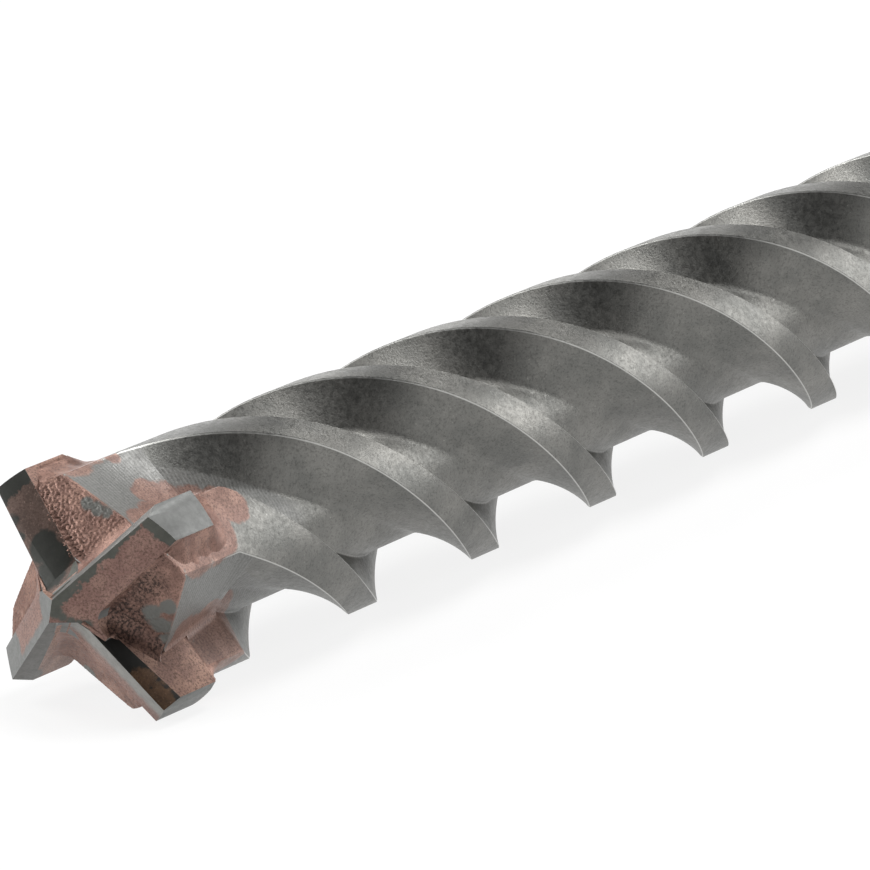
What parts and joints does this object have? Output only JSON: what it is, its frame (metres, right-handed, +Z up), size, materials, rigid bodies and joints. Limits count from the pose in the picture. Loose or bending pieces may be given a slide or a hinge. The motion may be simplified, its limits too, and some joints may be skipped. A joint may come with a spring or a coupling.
{
  "type": "masonry drill bit",
  "caption": "Long four-cutter masonry drill bit with a brazed carbide cross head, spiral flutes and a slotted shank for a rotary hammer.",
  "frame": {"origin": "on the bit's axis, in the middle of the plain part of the shank", "axes": "+X along the axis from the carbide tip toward the struck end, +Z up as the bit lies on its flute lands"},
  "size_m": [0.32, 0.0216, 0.0216],
  "materials": {
    "blasted_steel": "satin",
    "tungsten_carbide": "satin",
    "copper_braze": "satin"
  },
  "bodies": {
    "root": {"drill_body": "blasted_steel", "braze_joint": "copper_braze", "carbide_head": "tungsten_carbide"}
  },
  "joints": []
}
